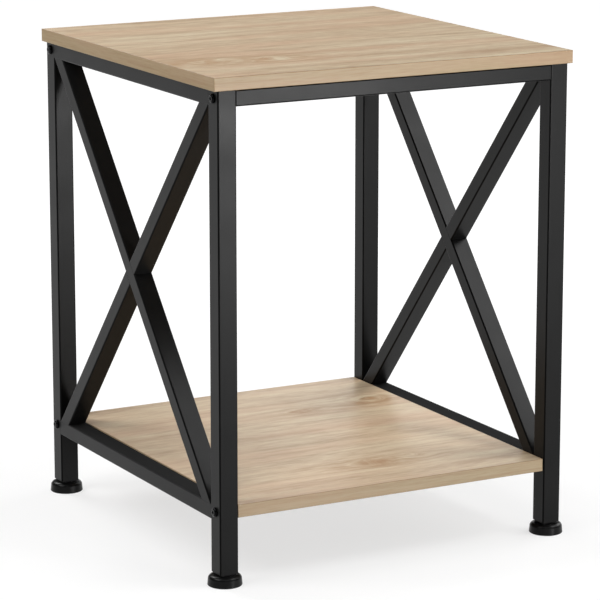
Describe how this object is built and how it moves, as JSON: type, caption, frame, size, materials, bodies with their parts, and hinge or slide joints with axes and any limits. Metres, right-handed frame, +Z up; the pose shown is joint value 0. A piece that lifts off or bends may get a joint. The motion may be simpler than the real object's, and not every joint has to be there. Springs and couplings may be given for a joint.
{
  "type": "end table with shelf",
  "caption": "Square end table: oak-look top and low shelf on black steel side frames with X braces, bolted together, on screw-adjustable levelling feet.",
  "frame": {"origin": "on the floor, below the middle of the top", "axes": "+Z up, the front faces -Y, the braced side frames are at -X and +X"},
  "size_m": [0.4054, 0.4104, 0.5],
  "materials": {
    "oak_laminate": "matt oak-look laminate on chipboard",
    "oak_edge_band": "matt oak-look edge band",
    "black_powder_coat": "satin black powder coat on steel tube",
    "black_bolt_steel": "black oxide",
    "zinc_plated_steel": "bright zinc plate",
    "black_plastic": "moulded, fine matt"
  },
  "bodies": {
    "table": {"bottom_rail_left": "black_powder_coat", "bottom_rail_right": "black_powder_coat", "cross_rail_bolts": "black_bolt_steel", "cross_rail_end_plates": "zinc_plated_steel", "cross_rail_front": "black_powder_coat", "cross_rail_rear": "black_powder_coat", "leg_front_left": "black_powder_coat", "leg_front_right": "black_powder_coat", "leg_plug_front_left": "black_plastic", "leg_plug_front_right": "black_plastic", "leg_plug_rear_left": "black_plastic", "leg_plug_rear_right": "black_plastic", "leg_rear_left": "black_powder_coat", "leg_rear_right": "black_powder_coat", "lower_brace_left": "black_powder_coat", "lower_brace_right": "black_powder_coat", "shelf_band_front": "oak_edge_band", "shelf_band_left": "oak_edge_band", "shelf_band_rear": "oak_edge_band", "shelf_band_right": "oak_edge_band", "shelf_board": "oak_laminate", "shelf_bolts": "black_bolt_steel", "shelf_insert_nuts": "zinc_plated_steel", "table_top": "oak_laminate", "through_brace_left": "black_powder_coat", "through_brace_right": "black_powder_coat", "top_band_front": "oak_edge_band", "top_band_left": "oak_edge_band", "top_band_rear": "oak_edge_band", "top_band_right": "oak_edge_band", "top_rail_left": "black_powder_coat", "top_rail_right": "black_powder_coat", "top_screws": "zinc_plated_steel", "upper_brace_left": "black_powder_coat", "upper_brace_right": "black_powder_coat"},
    "foot_stud_front_left": {"foot_stud_front_left": "zinc_plated_steel"},
    "foot_pad_front_left": {"foot_pad_front_left": "black_plastic"},
    "foot_stud_front_right": {"foot_stud_front_right": "zinc_plated_steel"},
    "foot_pad_front_right": {"foot_pad_front_right": "black_plastic"},
    "foot_stud_rear_left": {"foot_stud_rear_left": "zinc_plated_steel"},
    "foot_pad_rear_left": {"foot_pad_rear_left": "black_plastic"},
    "foot_stud_rear_right": {"foot_stud_rear_right": "zinc_plated_steel"},
    "foot_pad_rear_right": {"foot_pad_rear_right": "black_plastic"}
  },
  "joints": [
    {"name": "foot_extend_front_left", "type": "slide", "parent": "table", "child": "foot_stud_front_left", "axis": [0, 0, -1], "range_m": [0, 0.01]},
    {"name": "foot_turn_front_left", "type": "hinge", "parent": "foot_stud_front_left", "child": "foot_pad_front_left", "pos_m": [-0.1855, -0.188, 0.004], "axis": [0, 0, -1], "range_deg": [0, 2880]},
    {"name": "foot_extend_front_right", "type": "slide", "parent": "table", "child": "foot_stud_front_right", "axis": [0, 0, -1], "range_m": [0, 0.01]},
    {"name": "foot_turn_front_right", "type": "hinge", "parent": "foot_stud_front_right", "child": "foot_pad_front_right", "pos_m": [0.1855, -0.188, 0.004], "axis": [0, 0, -1], "range_deg": [0, 2880]},
    {"name": "foot_extend_rear_left", "type": "slide", "parent": "table", "child": "foot_stud_rear_left", "axis": [0, 0, -1], "range_m": [0, 0.01]},
    {"name": "foot_turn_rear_left", "type": "hinge", "parent": "foot_stud_rear_left", "child": "foot_pad_rear_left", "pos_m": [-0.1855, 0.188, 0.004], "axis": [0, 0, -1], "range_deg": [0, 2880]},
    {"name": "foot_extend_rear_right", "type": "slide", "parent": "table", "child": "foot_stud_rear_right", "axis": [0, 0, -1], "range_m": [0, 0.01]},
    {"name": "foot_turn_rear_right", "type": "hinge", "parent": "foot_stud_rear_right", "child": "foot_pad_rear_right", "pos_m": [0.1855, 0.188, 0.004], "axis": [0, 0, -1], "range_deg": [0, 2880]}
  ],
  "couplings": [
    {"joint": "foot_extend_front_left", "follows": "foot_turn_front_left", "m_per_rad": 0.00019894},
    {"joint": "foot_extend_front_right", "follows": "foot_turn_front_right", "m_per_rad": 0.00019894},
    {"joint": "foot_extend_rear_left", "follows": "foot_turn_rear_left", "m_per_rad": 0.00019894},
    {"joint": "foot_extend_rear_right", "follows": "foot_turn_rear_right", "m_per_rad": 0.00019894}
  ]
}
